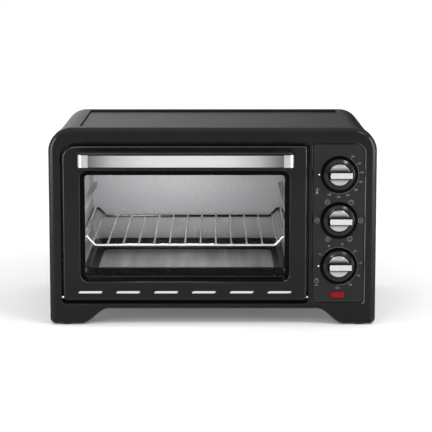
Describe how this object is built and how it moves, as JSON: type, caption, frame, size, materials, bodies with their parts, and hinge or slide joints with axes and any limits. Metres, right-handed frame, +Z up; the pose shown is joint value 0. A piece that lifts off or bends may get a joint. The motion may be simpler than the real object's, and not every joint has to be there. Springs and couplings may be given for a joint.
{
  "type": "toaster oven",
  "caption": "Bench-top toaster oven with a drop-down glass door, bar handle, control dials on the right, wire rack and baking tray.",
  "frame": {"origin": "on the counter, at the middle of the bounding box", "axes": "+X to the right seen from the front, -Y to the front, +Z up"},
  "size_m": [0.465, 0.375, 0.283],
  "materials": {
    "frame_moulding": "satin dark grey moulding",
    "panel_paint": "satin dark grey paint",
    "cabinet_paint": "fine-grained dark grey paint",
    "zinc_steel": "plain zinc-coated sheet",
    "cavity_steel": "aluminised sheet",
    "rubber_black": "matte",
    "plastic_black": "matte",
    "screw_steel": "plated",
    "heater_steel": "dark oxidised sheath",
    "ceramic_white": "unglazed",
    "switch_plastic": "matte",
    "bell_brass": "plain",
    "lamp_red": "translucent red",
    "door_paint": "gloss near-black paint",
    "bezel_black": "gloss black paint",
    "glass": "clear tempered glass",
    "silicone_grey": "matte",
    "handle_plastic": "satin",
    "brushed_trim": "brushed along the handle",
    "cap_chrome": "satin chrome",
    "knob_black": "gloss",
    "knob_silver": "satin silver plating",
    "shaft_steel": "turned",
    "rack_chrome": "bright chrome plating",
    "tray_enamel": "dark enamel"
  },
  "bodies": {
    "cabinet": {"front_frame": "frame_moulding", "control_panel": "panel_paint", "outer_cover": "cabinet_paint", "rear_panel": "cabinet_paint", "base_plate": "zinc_steel", "foot_pads": "rubber_black", "rear_feet": "plastic_black", "rear_spacers": "plastic_black", "cord_gland": "plastic_black", "cover_screws": "screw_steel", "rear_screws": "screw_steel", "cavity_front": "cavity_steel", "cavity_floor": "cavity_steel", "cavity_ceiling": "cavity_steel", "cavity_back": "cavity_steel", "cavity_side_left": "cavity_steel", "cavity_side_right": "cavity_steel", "upper_heaters": "heater_steel", "lower_heaters": "heater_steel", "heater_insulators": "ceramic_white", "compartment_shield": "zinc_steel", "control_bracket": "zinc_steel", "thermostat": "switch_plastic", "function_switch": "switch_plastic", "timer_mechanism": "switch_plastic", "timer_bell": "bell_brass", "control_nuts": "screw_steel", "lamp_lens": "lamp_red", "lamp_holder": "switch_plastic", "terminal_block": "ceramic_white", "hinge_pins": "shaft_steel"},
    "door": {"door_panel": "door_paint", "window_bezel": "bezel_black", "door_glass": "glass", "glass_gasket": "silicone_grey", "door_inner_plate": "cavity_steel", "hinge_arms": "zinc_steel", "handle_body": "handle_plastic", "handle_trim": "brushed_trim", "handle_caps": "cap_chrome", "handle_screws": "screw_steel"},
    "temperature_knob": {"temperature_skirt": "knob_black", "temperature_grip": "knob_silver", "temperature_shaft": "shaft_steel"},
    "function_knob": {"function_skirt": "knob_black", "function_grip": "knob_silver", "function_shaft": "shaft_steel"},
    "timer_knob": {"timer_skirt": "knob_black", "timer_grip": "knob_silver", "timer_shaft": "shaft_steel"},
    "rack": {"wire_rack": "rack_chrome"},
    "tray": {"baking_tray": "tray_enamel"}
  },
  "joints": [
    {"name": "door_hinge", "type": "hinge", "parent": "cabinet", "child": "door", "pos_m": [0, -0.1375, 0.0393], "axis": [1, 0, 0], "range_deg": [0, 85]},
    {"name": "temperature_turn", "type": "hinge", "parent": "cabinet", "child": "temperature_knob", "pos_m": [0.1794, -0.1415, 0.2165], "axis": [0, 1, 0], "range_deg": [0, 296]},
    {"name": "function_turn", "type": "hinge", "parent": "cabinet", "child": "function_knob", "pos_m": [0.1794, -0.1415, 0.1508], "axis": [0, 1, 0], "range_deg": [0, 300]},
    {"name": "timer_turn", "type": "hinge", "parent": "cabinet", "child": "timer_knob", "pos_m": [0.1794, -0.1415, 0.0851], "axis": [0, 1, 0], "range_deg": [0, 273]},
    {"name": "rack_slide", "type": "slide", "parent": "cabinet", "child": "rack", "axis": [0, -1, 0], "range_m": [0, 0.1]},
    {"name": "tray_slide", "type": "slide", "parent": "cabinet", "child": "tray", "axis": [0, -1, 0], "range_m": [0, 0.06]}
  ],
  "couplings": [
    {"joint": "rack_slide", "follows": "door_hinge", "m_per_rad": 0.067},
    {"joint": "tray_slide", "follows": "door_hinge", "m_per_rad": 0.04}
  ]
}
